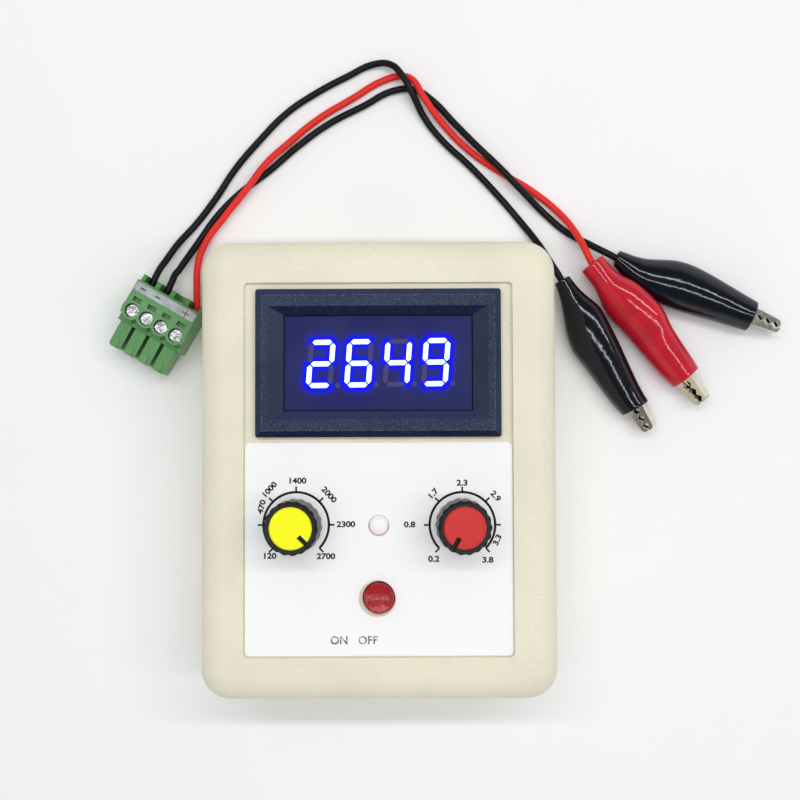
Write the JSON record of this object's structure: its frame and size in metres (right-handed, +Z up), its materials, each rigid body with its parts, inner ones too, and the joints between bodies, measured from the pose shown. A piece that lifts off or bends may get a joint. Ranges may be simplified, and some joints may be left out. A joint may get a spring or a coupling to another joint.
{
  "type": "component tester",
  "caption": "Bench tester box with a digital panel meter, two turning knobs, a push button, an indicator and a separate lead set with a screw plug and booted crocodile clips",
  "frame": {"origin": "centre of the case's underside, on the table", "axes": "+X to the right across the knobs, +Y from the button towards the meter, +Z up out of the front panel"},
  "size_m": [0.1419, 0.134, 0.0398],
  "materials": {
    "shell_plastic": "fine matte",
    "label_film": "satin print",
    "bezel_plastic": "gloss",
    "window": "clear blue",
    "black_plastic": "matte",
    "lit_segment": "glowing",
    "dark_segment": "unlit",
    "board": "solder mask",
    "milky_lens": "milky",
    "plated_steel": "nickel plated",
    "blue_body": "gloss",
    "knob_black": "satin",
    "yellow_cap": "satin",
    "red_cap": "satin",
    "red_button": "gloss",
    "green_plastic": "satin",
    "grey_strip": "matte",
    "black_cable": "semi gloss",
    "red_cable": "semi gloss",
    "black_boot": "gloss, soft",
    "red_boot": "gloss, soft",
    "nickel": "nickel plated sheet",
    "brass": "tinned"
  },
  "bodies": {
    "case": {"top_shell": "shell_plastic", "bottom_shell": "shell_plastic", "case_screws": "plated_steel", "main_board": "board", "board_screws": "plated_steel", "front_label": "label_film", "meter_bezel": "bezel_plastic", "meter_window": "window", "meter_digit_block": "black_plastic", "meter_lit_segments": "lit_segment", "meter_dark_segments": "dark_segment", "meter_board": "board", "indicator_lens": "milky_lens", "indicator_spacer": "black_plastic", "start_switch_body": "black_plastic", "voltage_pot": "blue_body", "current_pot": "blue_body", "usb_socket_shell": "plated_steel", "usb_socket_tongue": "black_plastic", "power_switch_body": "plated_steel", "lead_socket": "green_plastic", "lead_socket_pins": "plated_steel"},
    "voltage_control": {"voltage_knob": "knob_black", "voltage_knob_cap": "yellow_cap", "voltage_shaft": "plated_steel"},
    "current_control": {"current_knob": "knob_black", "current_knob_cap": "red_cap", "current_shaft": "plated_steel"},
    "start": {"start_button": "red_button", "start_plunger": "milky_lens"},
    "power_switch": {"power_switch_lever": "black_plastic"},
    "lead_set": {"plug_housing": "green_plastic", "plug_screws": "plated_steel", "plug_clamps": "brass", "plug_marker_strip": "grey_strip", "wire_one": "black_cable", "wire_two": "red_cable", "wire_three": "black_cable", "boot_one": "black_boot", "boot_two": "red_boot", "boot_three": "black_boot", "fixed_jaw_one": "nickel", "fixed_jaw_two": "nickel", "fixed_jaw_three": "nickel", "hinge_pin_one": "nickel", "hinge_pin_two": "nickel", "hinge_pin_three": "nickel", "jaw_spring_one": "nickel", "jaw_spring_two": "nickel", "jaw_spring_three": "nickel"},
    "clip_jaw_one": {"moving_jaw_one": "nickel"},
    "clip_jaw_two": {"moving_jaw_two": "nickel"},
    "clip_jaw_three": {"moving_jaw_three": "nickel"}
  },
  "joints": [
    {"name": "voltage_turn", "type": "hinge", "parent": "case", "child": "voltage_control", "pos_m": [-0.0163, -0.011, 0.03], "axis": [0, 0, 1], "range_deg": [-15, 285]},
    {"name": "current_turn", "type": "hinge", "parent": "case", "child": "current_control", "pos_m": [0.0163, -0.011, 0.03], "axis": [0, 0, 1], "range_deg": [-300, 0]},
    {"name": "start_press", "type": "slide", "parent": "case", "child": "start", "axis": [0, 0, -1], "range_m": [0, 0.0015], "stiffness_N_per_m": 400, "springref_m": -0.0008},
    {"name": "power_slide", "type": "slide", "parent": "case", "child": "power_switch", "axis": [1, 0, 0], "range_m": [0, 0.002]},
    {"name": "lead_set_lift", "type": "slide", "parent": "case", "child": "lead_set", "axis": [0, 0, 1], "range_m": [0, 0.05]},
    {"name": "clip_open_one", "type": "hinge", "parent": "lead_set", "child": "clip_jaw_one", "pos_m": [0.04818, 0.02321, 0.00405], "axis": [0.3968, 0.252, -0.8826], "range_deg": [0, 15], "stiffness_Nm_per_rad": 0.02, "springref_deg": -22.92, "deforming": ["jaw_spring_one", "boot_one"]},
    {"name": "clip_open_two", "type": "hinge", "parent": "lead_set", "child": "clip_jaw_two", "pos_m": [0.05761, 0.02779, 0.0043], "axis": [-0.482, -0.4261, 0.7656], "range_deg": [0, 15], "stiffness_Nm_per_rad": 0.02, "springref_deg": -22.92, "deforming": ["jaw_spring_two", "boot_two"]},
    {"name": "clip_open_three", "type": "hinge", "parent": "lead_set", "child": "clip_jaw_three", "pos_m": [0.06865, 0.03656, 0.0037], "axis": [0.016, -0.0069, 0.9998], "range_deg": [0, 15], "stiffness_Nm_per_rad": 0.02, "springref_deg": -22.92, "deforming": ["jaw_spring_three", "boot_three"]}
  ]
}
